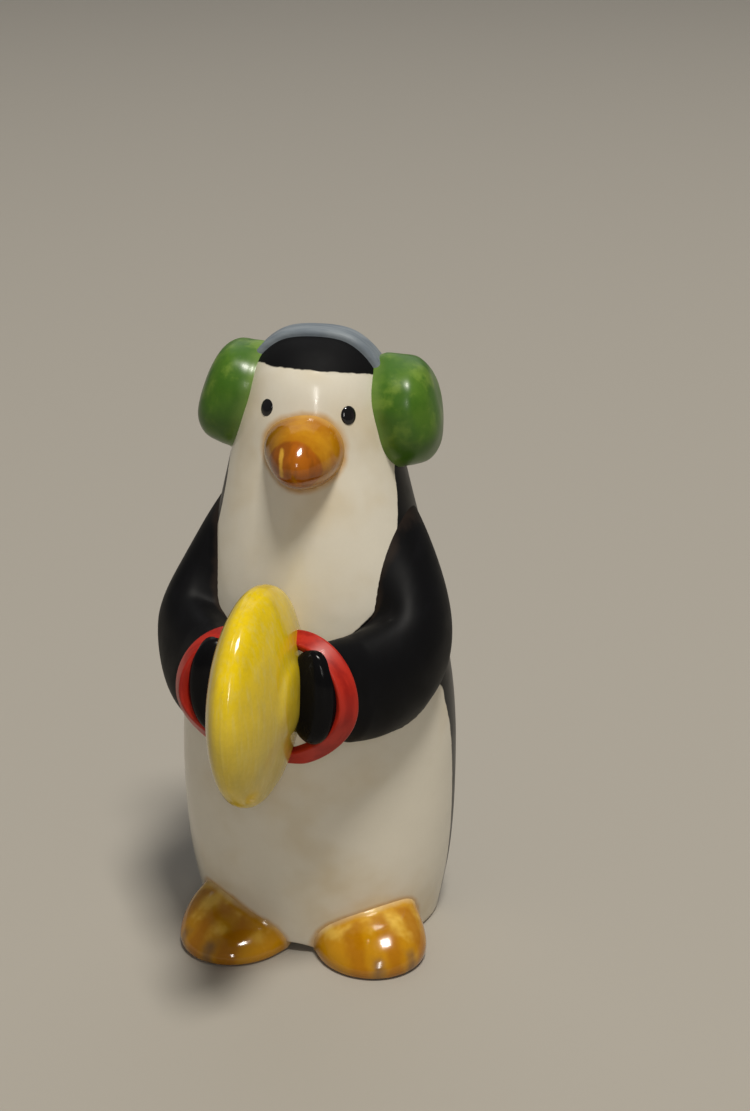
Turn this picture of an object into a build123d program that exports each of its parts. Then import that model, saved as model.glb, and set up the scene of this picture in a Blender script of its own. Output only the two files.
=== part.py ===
from build123d import *
import os
from math import cos, pi, radians, sin, sqrt

# A small glazed earthenware penguin in ear muffs, clapping a pair of cymbals in front of its chest.
# +Z is up, the penguin faces -Y, and its own left is +X. The origin is on the trunk's axis at the floor.
# Lengths are in millimetres and angles in degrees. Each piece is shaped by itself and luted to the others,
# so every piece is cut to the face that it sits on.

# Trunk and head, one hollow cast form with an oval section
body_height = 71.6
body_width = 33.0
body_depth = 30.0
wall = 2.6
base_thickness = 3.0
base_ring_width = 3.0
base_recess = 1.0
vent_diameter = 3.6
arch_width = 7.0
arch_height = 1.3
arch_depth = 4.0

# Head pose: what the head wears is set over and turned towards the penguin's left, and tips a little to that side
head_shift = 0.45
head_turn_angle = 5.0
head_tilt_angle = 3.6

# Flippers
flipper_thickness = 8.6
flipper_breadth = 13.8
hand_length = 1.6
dome_sweep_angle = 86.0

# Cymbals
cymbal_diameter = 24.0
cymbal_thickness = 4.5
cymbal_seat = 1.3

# Hand straps
strap_width = 2.2
strap_thickness = 1.1
strap_end_thickness = 0.8
strap_bite = 0.5
strap_height = 13.7

# Feet
foot_width = 13.2
foot_length = 14.6
foot_height = 7.5
left_foot_splay_angle = 40.0
right_foot_splay_angle = 30.0

# Beak and eyes
beak_width = 9.1
beak_depth = 8.3
beak_length = 5.6
beak_sink = 2.4
beak_droop_angle = 4.0
eye_width = 1.65
eye_height = 2.2
eye_proud = 0.3
eye_spacing = 9.1
eye_facing_angle = 30.0

# Ear muffs and headband
muff_diameter = 12.4
muff_thickness = 5.0
muff_sink = 2.6
muff_setback = 1.2
muff_lean_angle = 14.0
band_width = 3.5
band_thickness = 1.0
band_setback = 0.7

# One overrun serves all cuts
overrun = 5.0

# Trunk rows, from the floor to the crown: height, width and depth as shares of the trunk's own
trunk_shares = [
    (0.000, 0.880, 0.905),
    (0.097, 0.960, 0.970),
    (0.250, 1.000, 1.000),
    (0.389, 0.980, 0.973),
    (0.556, 0.860, 0.867),
    (0.667, 0.745, 0.800),
    (0.750, 0.655, 0.727),
    (0.819, 0.585, 0.645),
    (0.896, 0.508, 0.570),
    (0.958, 0.400, 0.460),
    (0.989, 0.260, 0.300),
    (1.000, 0.073, 0.080),
]

# Levels on the head, as shares of the trunk's height
head_centre_share = 0.894
eye_level_share = 0.9036
beak_level_share = 0.845
muff_level_share = 0.884

# Points drawn on every oval section, and rows in a round end, as counts
oval_points = 8
dome_rows = 4


def trunk_half(height):
    """Half the trunk's width and depth at a height, between the two nearest rows."""
    share = height / body_height
    for low, high in zip(trunk_shares, trunk_shares[1:]):
        if low[0] <= share <= high[0]:
            part = (share - low[0]) / (high[0] - low[0])
            width_share = low[1] + part * (high[1] - low[1])
            depth_share = low[2] + part * (high[2] - low[2])
    return body_width * width_share / 2, body_depth * depth_share / 2


def oval(plane, width, depth):
    """A smooth closed oval, begun on its own +x side so that a loft through several runs straight."""
    turns = [2 * pi * step / oval_points for step in range(oval_points)]
    with BuildSketch(plane) as section:
        with BuildLine():
            Spline(*[(width / 2 * cos(turn), depth / 2 * sin(turn)) for turn in turns], periodic=True)
        make_face()
    return section.sketch


def trunk_oval(height, width, depth):
    """A level oval about the trunk's axis, begun at the back so that both sides match."""
    level = Plane(origin=(0, 0, height), x_dir=(0, 1, 0), z_dir=(0, 0, 1))
    return oval(level, depth, width)


def trunk_form(grow):
    """The trunk's solid outer form, grown outwards all round."""
    sections = []
    for height_share, width_share, depth_share in trunk_shares:
        height = (body_height + grow) * height_share
        sections.append(trunk_oval(height, body_width * width_share + 2 * grow, body_depth * depth_share + 2 * grow))
    with BuildPart() as form:
        loft(sections)
    return form.part


def along(plane):
    """The plane that holds another plane's x and z directions, for a profile turned about that z."""
    return Plane(origin=plane.origin, x_dir=plane.x_dir, z_dir=-plane.y_dir)


def facing(origin, outward, upward):
    """A plane whose z looks along one direction and whose y leans to another."""
    look = Vector(*outward).normalized()
    across = Vector(*upward).cross(look).normalized()
    return Plane(origin=origin, x_dir=across, z_dir=look)


def on_side(form, side, carriers):
    """A form drawn for the left side, mirrored for the right, and cut to the pieces that carry it."""
    with BuildPart() as piece:
        if side > 0:
            add(form)
        else:
            mirror(form, about=Plane.YZ)
        for carrier in carriers:
            add(carrier, mode=Mode.SUBTRACT)
    return piece


def in_head(x, y, z):
    """A point given square to the head, at its height above the floor, in the part's frame."""
    return head.from_local_coords(Vector(x, y, z - head_centre))


def head_direction(x, y, z):
    """A direction given square to the head, in the part's frame."""
    return head.from_local_coords(Vector(x, y, z)) - head.origin


head_centre = body_height * head_centre_share
eye_level = body_height * eye_level_share
beak_level = body_height * beak_level_share
muff_level = body_height * muff_level_share
head = Plane(Location((head_shift, 0, head_centre), (0, head_tilt_angle, head_turn_angle)))
body_form = trunk_form(0)

# Body: the cast shell, closed at the crown, with a foot ring, a recess and a vent underneath
cavity = []
for height_share, width_share, depth_share in trunk_shares[:-2]:
    inner_height = base_thickness + (body_height - base_thickness - wall) * height_share
    cavity.append(trunk_oval(inner_height, body_width * width_share - 2 * wall, body_depth * depth_share - 2 * wall))

base_width = body_width * trunk_shares[0][1]
base_depth = body_depth * trunk_shares[0][2]
recess = trunk_oval(0, base_width - 2 * base_ring_width, base_depth - 2 * base_ring_width)

with BuildPart() as body:
    add(body_form)
    loft(cavity, mode=Mode.SUBTRACT)
    extrude(recess, amount=base_recess, mode=Mode.SUBTRACT)
    with BuildSketch(Plane.XY):
        Circle(vent_diameter / 2)
    extrude(amount=base_thickness + overrun, mode=Mode.SUBTRACT)
    with BuildSketch(Plane.XZ.offset(base_depth / 2 - arch_depth)):
        Ellipse(arch_width / 2, arch_height)
    extrude(amount=arch_depth + overrun, mode=Mode.SUBTRACT)

# Cymbals: two shallow bells of revolution about X, meeting rim to rim on the middle plane.
# Each has a flat meeting face, a round rim and a bowed back that swells to a bell in the middle.
chest_height_share = 0.530
cymbal_profile_shares = [(0.22, 0.95), (0.38, 0.80), (0.50, 0.72), (0.70, 0.57), (0.88, 0.37)]
cymbal_height = body_height * chest_height_share
cymbal_radius = cymbal_diameter / 2
cymbal_forward = -(trunk_half(cymbal_height)[1] + cymbal_radius - cymbal_seat)
cymbal_centre = Vector(0, cymbal_forward, cymbal_height)
cymbal_axle = Plane(origin=cymbal_centre, x_dir=(0, 0, 1), z_dir=(1, 0, 0))
cymbal_back = [(cymbal_radius * across, cymbal_thickness * rise) for across, rise in cymbal_profile_shares]

with BuildPart() as cymbal:
    with BuildSketch(along(cymbal_axle)):
        with BuildLine():
            Line((0, 0), (cymbal_radius, 0))
            Spline(
                (cymbal_radius, 0), *reversed(cymbal_back), (0, cymbal_thickness), tangents=[(0, 1), (-1, 0)]
            )
            Line((0, cymbal_thickness), (0, 0))
        make_face()
    revolve(axis=Axis(cymbal_axle.origin, cymbal_axle.z_dir))

left_cymbal = on_side(cymbal.part, 1, [body_form])
right_cymbal = on_side(cymbal.part, -1, [body_form])

# Flippers: ovals along the arm, from inside the shoulder round the elbow to the back of the cymbal.
# Shoulder, upper arm and elbow: place as shares of the trunk's half width, half depth and height,
# then thickness and breadth.
arm_shares = [
    (0.340, 0.060, 0.785, 0.45, 0.46),
    (0.585, -0.040, 0.665, 0.90, 0.80),
    (0.780, -0.520, 0.507, 1.00, 1.00),
]
# Forearm: how far along from the elbow to the wrist, how far it sags in flipper breadths, and its section
forearm_along_share = 0.46
forearm_sag_share = 0.060
forearm_section_shares = (1.05, 0.92)
# Wrist: outwards from the cymbal's back in flipper thicknesses, then along and up in cymbal diameters
wrist_out_share = 0.14
wrist_back_share = 0.150
wrist_drop_share = 0.060
wrist_thickness_share = 0.76
wrist_breadth_share = 0.74
wrist_heading = Vector(-0.30, -0.95, 0.05).normalized()


def across_arm(place, heading):
    """The plane across the arm at a place: z runs to the finger end, x points away from the trunk."""
    outward = Vector(1, 0, 0)
    outward = outward - heading * outward.dot(heading)
    return Plane(origin=place, x_dir=outward.normalized(), z_dir=heading)


wrist_place = cymbal_centre + Vector(
    cymbal_thickness + flipper_thickness * wrist_out_share,
    cymbal_diameter * wrist_back_share,
    -cymbal_diameter * wrist_drop_share,
)
wrist = across_arm(wrist_place, wrist_heading)
wrist_thickness = flipper_thickness * wrist_thickness_share
wrist_breadth = flipper_breadth * wrist_breadth_share

arm_places = [
    Vector(body_width / 2 * x_share, body_depth / 2 * y_share, body_height * z_share)
    for x_share, y_share, z_share, _, _ in arm_shares
]
elbow_place = arm_places[-1]
forearm_sag = Vector(0, 0, -flipper_breadth * forearm_sag_share)
arm_places.append(elbow_place + (wrist_place - elbow_place) * forearm_along_share + forearm_sag)
arm_places.append(wrist_place)
section_shares = [row[3:] for row in arm_shares] + [forearm_section_shares]
arm_sections = []
for index, (thickness_share, breadth_share) in enumerate(section_shares):
    heading = (arm_places[index + 1] - arm_places[max(index - 1, 0)]).normalized()
    across = across_arm(arm_places[index], heading)
    arm_sections.append(oval(across, flipper_thickness * thickness_share, flipper_breadth * breadth_share))
arm_sections.append(oval(wrist.offset(-strap_width / 2), wrist_thickness, wrist_breadth))

# The hand is a blunt dome beyond the wrist, which runs straight for the strap's width
hand_sections = []
for row in range(dome_rows + 1):
    turn = radians(dome_sweep_angle) * row / dome_rows
    across = wrist.offset(strap_width / 2 + hand_length * sin(turn))
    hand_sections.append(oval(across, wrist_thickness * cos(turn), wrist_breadth * cos(turn)))

with BuildPart() as flipper:
    loft(arm_sections)
    extrude(oval(wrist, wrist_thickness, wrist_breadth), amount=strap_width / 2, both=True)
    loft(hand_sections)

left_flipper = on_side(flipper.part, 1, [body_form, left_cymbal.part])
right_flipper = on_side(flipper.part, -1, [body_form, right_cymbal.part])

# Hand straps: crescents pressed round the wrists, with both ends seated on the back of the cymbal.
# The inner oval bites into the wrist, so the strap bears on the wrist's own section and stands clear above and below.
strap_centre_share = 0.27
strap_inward = flipper_thickness * strap_centre_share
strap_reach = strap_inward + wrist_thickness / 2 + strap_thickness
strap_inner_reach = strap_inward + wrist_thickness / 2 - strap_bite
strap_inner_height = strap_height - 2 * strap_end_thickness

with BuildPart() as strap:
    with BuildSketch(wrist):
        with Locations((-strap_inward, 0)):
            Ellipse(strap_reach, strap_height / 2)
            Ellipse(strap_inner_reach, strap_inner_height / 2, mode=Mode.SUBTRACT)
        add(oval(Plane.XY, wrist_thickness, wrist_breadth), mode=Mode.SUBTRACT)
    extrude(amount=strap_width / 2, both=True)
    split(bisect_by=Plane.YZ, keep=Keep.TOP)
    add(cymbal.part, mode=Mode.SUBTRACT)

left_strap = on_side(strap.part, 1, [body_form])
right_strap = on_side(strap.part, -1, [body_form])

# Feet: low domes of clay, splayed, cut to the trunk and flat on the floor.
# Rows, from the sole up: height, width, length and set-back towards the trunk, as shares of the foot's own.
foot_shares = [
    (0.00, 0.92, 0.92, 0.00),
    (0.22, 1.00, 1.00, 0.00),
    (0.50, 0.96, 0.94, 0.03),
    (0.75, 0.83, 0.77, 0.08),
    (0.92, 0.58, 0.50, 0.14),
    (1.00, 0.24, 0.20, 0.18),
]


def make_foot(side, splay):
    """One foot, swung outwards about the trunk's axis and centred on the trunk's edge."""
    swing = radians(splay)
    ahead = Vector(side * sin(swing), -cos(swing), 0)
    half_width, half_depth = base_width / 2, base_depth / 2
    stand = 1 / sqrt((sin(swing) / half_width) ** 2 + (cos(swing) / half_depth) ** 2)
    sections = []
    for height_share, width_share, length_share, back_share in foot_shares:
        place = ahead * (stand - foot_length * back_share) + Vector(0, 0, foot_height * height_share)
        level = Plane(origin=place, x_dir=ahead, z_dir=(0, 0, 1))
        sections.append(oval(level, foot_length * length_share, foot_width * width_share))
    with BuildPart() as foot:
        loft(sections)
        add(body_form, mode=Mode.SUBTRACT)
    return foot


left_foot = make_foot(1, left_foot_splay_angle)
right_foot = make_foot(-1, right_foot_splay_angle)

# Beak: a blunt oval cone, pushed on to the face.
# Rows, from inside the face to the tip: distance and size as shares of the beak's length and section.
beak_shares = [(0.00, 1.00), (0.28, 0.94), (0.55, 0.79), (0.78, 0.58), (0.93, 0.34), (1.00, 0.10)]
beak_root = facing(
    in_head(0, -trunk_half(beak_level)[1], beak_level),
    head_direction(0, -cos(radians(beak_droop_angle)), -sin(radians(beak_droop_angle))),
    head_direction(0, 0, 1),
)
beak_reach = beak_sink + beak_length
beak_sections = [
    oval(beak_root.offset(beak_reach * reach_share - beak_sink), beak_width * size_share, beak_depth * size_share)
    for reach_share, size_share in beak_shares
]
with BuildPart() as beak:
    loft(beak_sections)
    add(body_form, mode=Mode.SUBTRACT)

# Eyes: oval drops of black slip that stand a little proud of the face
eye_form = trunk_form(eye_proud)


def make_eye(side):
    """One eye: an oval seen along its own facing, as thick as the slip stands proud."""
    half_width, half_depth = trunk_half(eye_level)
    x = eye_spacing / 2
    y = -half_depth * sqrt(1 - (x / half_width) ** 2)
    outward = head_direction(side * sin(radians(eye_facing_angle)), -cos(radians(eye_facing_angle)), 0)
    plane = facing(in_head(side * x, y, eye_level), outward, head_direction(0, 0, 1))
    with BuildPart() as eye:
        add(eye_form)
        with BuildSketch(plane):
            Ellipse(eye_width / 2, eye_height / 2)
        extrude(amount=wall, both=True, mode=Mode.INTERSECT)
        add(body_form, mode=Mode.SUBTRACT)
    return eye


left_eye = make_eye(1)
right_eye = make_eye(-1)

# Ear muffs: puffed pads of revolution, pressed on to the sides of the head
muff_profile_shares = [(1.00, 0.30), (0.93, 0.62), (0.66, 0.90)]
muff_root_share = 0.82


def make_muff(side):
    """One ear muff, leaning with the side of the head."""
    lean = radians(muff_lean_angle)
    side_plane = facing(
        in_head(side * trunk_half(muff_level)[0], muff_setback, muff_level),
        head_direction(side * cos(lean), 0, sin(lean)),
        head_direction(0, 0, 1),
    )
    radius = muff_diameter / 2
    root = (radius * muff_root_share, -muff_sink)
    curve = [(radius * across, muff_thickness * rise) for across, rise in muff_profile_shares]
    with BuildPart() as muff:
        with BuildSketch(along(side_plane)):
            with BuildLine():
                Line((0, -muff_sink), root)
                Spline(root, *curve, (0, muff_thickness), tangents=[(1, 1), (-1, 0)])
                Line((0, muff_thickness), (0, -muff_sink))
            make_face()
        revolve(axis=Axis(side_plane.origin, side_plane.z_dir))
        add(body_form, mode=Mode.SUBTRACT)
    return muff


left_ear_muff = make_muff(1)
right_ear_muff = make_muff(-1)

# Headband: a strip over the crown that ends inside the ear muffs
band_form = trunk_form(band_thickness)
with BuildPart() as headband:
    add(band_form)
    with BuildSketch(Plane(origin=in_head(0, band_setback, muff_level), x_dir=head.x_dir, z_dir=-head.y_dir)):
        Rectangle(body_width, body_height - muff_level + overrun, align=(Align.CENTER, Align.MIN))
    extrude(amount=band_width / 2, both=True, mode=Mode.INTERSECT)
    add(body_form, mode=Mode.SUBTRACT)
    add(left_ear_muff.part, mode=Mode.SUBTRACT)
    add(right_ear_muff.part, mode=Mode.SUBTRACT)

pieces = {
    "body": body,
    "left_flipper": left_flipper,
    "right_flipper": right_flipper,
    "left_foot": left_foot,
    "right_foot": right_foot,
    "beak": beak,
    "left_eye": left_eye,
    "right_eye": right_eye,
    "left_ear_muff": left_ear_muff,
    "right_ear_muff": right_ear_muff,
    "headband": headband,
    "left_cymbal": left_cymbal,
    "right_cymbal": right_cymbal,
    "left_strap": left_strap,
    "right_strap": right_strap,
}
os.makedirs("parts", exist_ok=True)
for name, piece in pieces.items():
    piece.part.label = name
    export_step(piece.part, f"parts/{name}.step")
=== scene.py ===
from math import cos, pi, radians, sin

import bmesh
import bpy
import numpy as np
from mathutils import Matrix, Vector
from mathutils.bvhtree import BVHTree


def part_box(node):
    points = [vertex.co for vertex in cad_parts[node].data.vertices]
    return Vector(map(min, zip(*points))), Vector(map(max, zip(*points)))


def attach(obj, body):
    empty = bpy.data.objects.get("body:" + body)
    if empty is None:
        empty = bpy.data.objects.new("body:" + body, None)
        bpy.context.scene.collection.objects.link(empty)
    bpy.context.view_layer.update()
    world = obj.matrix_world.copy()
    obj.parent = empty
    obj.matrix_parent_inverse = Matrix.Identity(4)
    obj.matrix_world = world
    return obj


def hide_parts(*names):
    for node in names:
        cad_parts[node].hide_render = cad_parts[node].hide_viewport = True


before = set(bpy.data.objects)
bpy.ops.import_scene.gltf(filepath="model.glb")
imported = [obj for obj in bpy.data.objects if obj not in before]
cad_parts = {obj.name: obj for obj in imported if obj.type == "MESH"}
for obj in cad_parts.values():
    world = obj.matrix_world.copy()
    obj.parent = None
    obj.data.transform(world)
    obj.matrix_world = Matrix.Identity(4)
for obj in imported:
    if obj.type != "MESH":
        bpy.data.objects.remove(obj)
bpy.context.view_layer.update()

# Body: trunk and head in one hollow slip casting of white earthenware, its foot ring wiped bare of glaze.
# The back, the shoulders and the crown are brushed black under the glaze, and the front is left ivory.
mm = 0.001
body_low, body_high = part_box("body")
trunk_height = body_high.z
trunk_half_width = (body_high.x - body_low.x) / 2
trunk_half_depth = (body_high.y - body_low.y) / 2
# From the floor to the crown: height, half width and half depth, as shares of the trunk's own
trunk_shares = [
    (0.000, 0.880, 0.905),
    (0.097, 0.960, 0.970),
    (0.250, 1.000, 1.000),
    (0.389, 0.980, 0.973),
    (0.556, 0.860, 0.867),
    (0.667, 0.745, 0.800),
    (0.750, 0.655, 0.727),
    (0.819, 0.585, 0.645),
    (0.896, 0.508, 0.570),
    (0.958, 0.400, 0.460),
    (0.989, 0.260, 0.300),
    (1.000, 0.073, 0.080),
    (1.000, 0.000, 0.000),
]
trunk_rings, trunk_around = 230, 240
trunk_wave, trunk_wave_depth, trunk_seed = 26 * mm, 0.10 * mm, 3
crown_start, crown_full = trunk_height * 0.88, trunk_height * 0.95
wall, base_thickness = 2.6 * mm, 3 * mm
foot_ring_width, foot_ring_edge, foot_recess = 3 * mm, 0.5 * mm, 1 * mm
vent_radius = 1.8 * mm
arch_half_width, arch_height = 3.5 * mm, 1.3 * mm
even_base_height = 4 * mm
wiped_height = 0.4 * mm
merge_distance = 0.001 * mm


def smooth_rows(rows, steps):
    """Carries rows of numbers smoothly through every given row, at even steps of the way along them."""
    rows = np.array(rows, float)
    span = np.linalg.norm(np.diff(rows, axis=0), axis=1)
    at = np.concatenate([[0], np.cumsum(span)])
    slope = np.gradient(rows, at, axis=0)
    want = np.linspace(0, at[-1], steps)
    row = np.clip(np.searchsorted(at, want, side="right") - 1, 0, len(span) - 1)
    part = ((want - at[row]) / span[row])[:, None]
    step = span[row][:, None]
    rise = 3 * part**2 - 2 * part**3
    lead = part - 2 * part**2 + part**3
    trail = part**3 - part**2
    between = rows[row] * (1 - rise) + rows[row + 1] * rise
    return between + step * (slope[row] * lead + slope[row + 1] * trail)


def put_in_scene(name, data):
    """An object at the origin, for a mesh, a curve, a light or the camera."""
    made = bpy.data.objects.new(name, data)
    bpy.context.scene.collection.objects.link(made)
    return made


def close_up(mesh):
    """Merges a mesh's doubled points, turns its faces outwards and shades them smooth."""
    shape = bmesh.new()
    shape.from_mesh(mesh)
    bmesh.ops.remove_doubles(shape, verts=shape.verts, dist=merge_distance)
    bmesh.ops.recalc_face_normals(shape, faces=shape.faces)
    for face in shape.faces:
        face.smooth = True
    shape.to_mesh(mesh)
    shape.free()


def skin(name, rings):
    """A closed piece over rings of points, each end drawn together at its own middle."""
    count, around = rings.shape[:2]
    points = np.concatenate([rings[0].mean(0)[None], rings.reshape(-1, 3), rings[-1].mean(0)[None]])
    faces = []
    for step in range(around):
        after = (step + 1) % around
        faces.append((0, 1 + after, 1 + step))
        for ring in range(count - 1):
            low, high = 1 + ring * around, 1 + (ring + 1) * around
            faces.append((low + step, low + after, high + after, high + step))
        last = 1 + (count - 1) * around
        faces.append((last + step, last + after, len(points) - 1))
    mesh = bpy.data.meshes.new(name)
    mesh.from_pydata(points.tolist(), [], faces)
    close_up(mesh)
    return put_in_scene(name, mesh)


def surface_of(piece):
    """A piece's surface, to measure distances from and to cast rays at."""
    corners = [vertex.co.copy() for vertex in piece.data.vertices]
    return BVHTree.FromPolygons(corners, [tuple(face.vertices) for face in piece.data.polygons])


def points_of(piece):
    """The mesh's points as an array."""
    flat = np.empty(len(piece.data.vertices) * 3, np.float32)
    piece.data.vertices.foreach_get("co", flat)
    return flat.reshape(-1, 3).astype(float)


def normals_of(piece):
    """The mesh's point normals as an array."""
    flat = np.empty(len(piece.data.vertices) * 3, np.float32)
    piece.data.vertex_normals.foreach_get("vector", flat)
    return flat.reshape(-1, 3).astype(float)


def move_points(piece, points):
    """Puts the mesh's points in new places."""
    piece.data.vertices.foreach_set("co", points.astype(np.float32).ravel())
    piece.data.update()


def keep_value(piece, name, values):
    """Stores one number for each point, for the piece's material to read."""
    stored = piece.data.attributes.new(name, "FLOAT", "POINT")
    stored.data.foreach_set("value", np.asarray(values, np.float32))


def waver(points, length, depth, seed):
    """The slow unevenness of a form finished by hand: a few long waves that cross each other."""
    waves = 7
    draw = np.random.default_rng(seed)
    total = np.zeros(len(points))
    for _ in range(waves):
        way = draw.normal(size=3)
        way *= 2 * pi / length * draw.uniform(0.6, 1.4) / np.linalg.norm(way)
        total += np.sin(points @ way + draw.uniform(0, 2 * pi))
    return depth * total / waves**0.5


def around_oval(half_width, half_depth, count):
    """Points round an oval, begun at the back."""
    turn = np.linspace(0, 2 * pi, count, endpoint=False)
    return np.stack([-half_width * np.sin(turn), half_depth * np.cos(turn)], axis=-1)


def level_rings(rows, count):
    """Level ovals about the trunk's axis, from rows of height, half width and half depth."""
    rings = np.zeros((len(rows), count, 3))
    for ring, (height, half_width, half_depth) in zip(rings, rows):
        ring[:, :2] = around_oval(half_width, half_depth, count)
        ring[:, 2] = height
    return rings


trunk_size = np.array([trunk_height, trunk_half_width, trunk_half_depth])
outer_rows = smooth_rows(np.array(trunk_shares) * trunk_size, trunk_rings)[::-1]
trunk_form = skin("trunk_form", level_rings(outer_rows, trunk_around))
trunk_surface = surface_of(trunk_form)
bpy.data.objects.remove(trunk_form)


def trunk_gap(points):
    """How far each point lies outside the trunk, and the way straight out from the trunk there."""
    gaps = np.empty(len(points))
    ways = np.empty((len(points), 3))
    for index, point in enumerate(points):
        near, way, _, distance = trunk_surface.find_nearest(Vector(point))
        gaps[index] = distance if (Vector(point) - near).dot(way) > 0 else -distance
        ways[index] = way
    return gaps, ways


def lute(piece, reach, spread):
    """Flares a piece's foot where it meets the trunk, as slip smoothed into the joint leaves it."""
    points = points_of(piece)
    gaps, ways = trunk_gap(points)
    normals = normals_of(piece)
    aside = normals - ways * (normals * ways).sum(1)[:, None]
    near = np.clip(1 - gaps / reach, 0, 1)
    move_points(piece, points + aside * (spread * near**2)[:, None])


# The foot ring, its recess, the vent and the inner wall follow on from the outer wall.
# Across the ring: height, and distance in from the trunk's edge.
edge_width, edge_depth = outer_rows[-1, 1:]
foot_ring_steps = [
    (0, foot_ring_edge),
    (0, foot_ring_width / 2),
    (0, foot_ring_width),
    (foot_recess * 0.5, foot_ring_width * 1.05),
    (foot_recess, foot_ring_width * 1.1),
]
underside = [(height, edge_width - inset, edge_depth - inset) for height, inset in foot_ring_steps]
underside += [
    (foot_recess, edge_width * 0.5, edge_depth * 0.5),
    (foot_recess, vent_radius * 1.15, vent_radius * 1.15),
    (foot_recess * 1.2, vent_radius, vent_radius),
    (base_thickness, vent_radius, vent_radius),
]
inner_rows = []
for height, half_width, half_depth in outer_rows[::-6]:
    inner_height = base_thickness + (trunk_height - base_thickness - wall) * height / trunk_height
    if half_width > 2 * wall:
        inner_rows.append((inner_height, half_width - wall, half_depth - wall))
body = skin("body_cast", level_rings([*outer_rows[:-1], *underside, *inner_rows], trunk_around))


def share_from_axis(points):
    """How far out from the trunk's axis each point stands, where 1 is the trunk's lower edge."""
    return np.hypot(points[:, 0] / edge_width, points[:, 1] / edge_depth)


# The ring is cut away in a shallow arch between the feet
body_points = points_of(body)
on_ring = share_from_axis(body_points) > 1 - 1.2 * foot_ring_width / edge_width
arched = on_ring & (body_points[:, 1] < -edge_depth / 2)
arch_share = np.clip(1 - (body_points[:, 0] / arch_half_width) ** 2, 0, 1) ** 0.5
arch = np.where(arched, arch_height * arch_share, 0)
under_arch = arched & (body_points[:, 2] < arch)
body_points[under_arch, 2] = arch[under_arch]
above_base = np.clip(body_points[:, 2] / even_base_height, 0, 1)
uneven = waver(body_points, trunk_wave, trunk_wave_depth, trunk_seed) * above_base
body_points[:, :2] *= (1 + uneven / trunk_half_width)[:, None]
move_points(body, body_points)
keep_value(body, "bare", np.clip(1.5 - body_points[:, 2] / wiped_height, 0, 1))

# The ivory front's border, from the crown down each side: degrees round from the front, and share of the
# trunk's height. The penguin's left is counted up from the front and its right is counted down.
left_border = [
    (0, 0.9675), (16, 0.9655), (36, 0.962), (57, 0.956), (78, 0.947), (96, 0.93), (98, 0.87), (84, 0.82),
    (77, 0.80), (74, 0.765), (69, 0.727), (63, 0.690), (56, 0.648), (51, 0.622), (44, 0.598), (35, 0.574),
    (26, 0.555), (22, 0.53), (30, 0.50), (62, 0.47), (80, 0.44), (82, 0.41), (85, 0.37), (88, 0.30),
    (90, 0.21), (91, 0.10), (91, 0.0),
]
right_border = [
    (0, 0.9675), (-29, 0.966), (-57, 0.962), (-76, 0.955), (-92, 0.94), (-96, 0.87), (-76, 0.825),
    (-66, 0.80), (-61, 0.765), (-60, 0.725), (-61, 0.69), (-59, 0.655), (-53, 0.627), (-46, 0.60),
    (-38, 0.565), (-30, 0.53), (-32, 0.50), (-62, 0.47), (-84, 0.44), (-88, 0.38), (-88, 0.30), (-88, 0.21),
    (-88, 0.10), (-88, 0.0),
]
border_steps, border_run_on = 160, 5 * mm
wrap_radius = 11 * mm


def border_line(rows):
    """The border as a smooth line on the unrolled trunk, in metres, carried on below the floor."""
    line = smooth_rows(np.array(rows) * [radians(1) * wrap_radius, trunk_height], border_steps)
    return np.concatenate([line, [line[-1] - [0, border_run_on]]])


def border_gap(places, outline):
    """How far each place lies inside a closed outline, below zero outside it."""
    nearest = np.full(len(places), np.inf)
    inside = np.zeros(len(places), bool)
    for start, end in zip(outline, np.roll(outline, -1, axis=0)):
        way = end - start
        part = np.clip((places - start) @ way / max(way @ way, 1e-18), 0, 1)
        nearest = np.minimum(nearest, np.linalg.norm(places - start - part[:, None] * way, axis=1))
        if start[1] != end[1]:
            crosses = (start[1] > places[:, 1]) != (end[1] > places[:, 1])
            inside ^= crosses & (places[:, 0] < start[0] + way[0] * (places[:, 1] - start[1]) / way[1])
    return np.where(inside, nearest, -nearest)


ivory_outline = np.concatenate([border_line(left_border), border_line(right_border)[::-1]])
round_trunk = np.arctan2(body_points[:, 0], -body_points[:, 1]) * wrap_radius
coat_gap = -border_gap(np.stack([round_trunk, body_points[:, 2]], axis=1), ivory_outline)
# No black is brushed inside the foot ring
inside_ring = share_from_axis(body_points) < 1 - foot_ring_edge / edge_width
coat_gap[inside_ring & (body_points[:, 2] < base_thickness)] = -1 * mm
keep_value(body, "coat", coat_gap)


def paint(red, green, blue):
    """A colour written as it looks on screen, for a shader."""
    shades = [shade / 255 for shade in (red, green, blue)]
    return (*[s / 12.92 if s < 0.04045 else ((s + 0.055) / 1.055) ** 2.4 for s in shades], 1)


def node(tree, kind, inputs=(), **settings):
    """One node, with its settings, and its inputs as plain values or as other nodes' outputs."""
    made = tree.nodes.new(kind)
    for name, value in settings.items():
        setattr(made, name, value)
    for key, value in dict(inputs).items():
        if isinstance(value, bpy.types.NodeSocket):
            tree.links.new(value, made.inputs[key])
        else:
            made.inputs[key].default_value = value
    return made


def math(tree, operation, first, second=0.0):
    """An operation on one or two numbers in a node tree."""
    return node(tree, "ShaderNodeMath", {0: first, 1: second}, operation=operation).outputs[0]


def times(tree, first, second):
    """Two numbers multiplied."""
    return math(tree, "MULTIPLY", first, second)


def vector_math(tree, operation, first, second=(0, 0, 0)):
    """An operation on one or two vectors in a node tree; it returns the node's outputs."""
    return node(tree, "ShaderNodeVectorMath", {0: first, 1: second}, operation=operation).outputs


def mix(tree, factor, first, second):
    """Two colours mixed by a factor."""
    return node(tree, "ShaderNodeMix", {0: factor, 6: first, 7: second}, data_type="RGBA").outputs[2]


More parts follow.
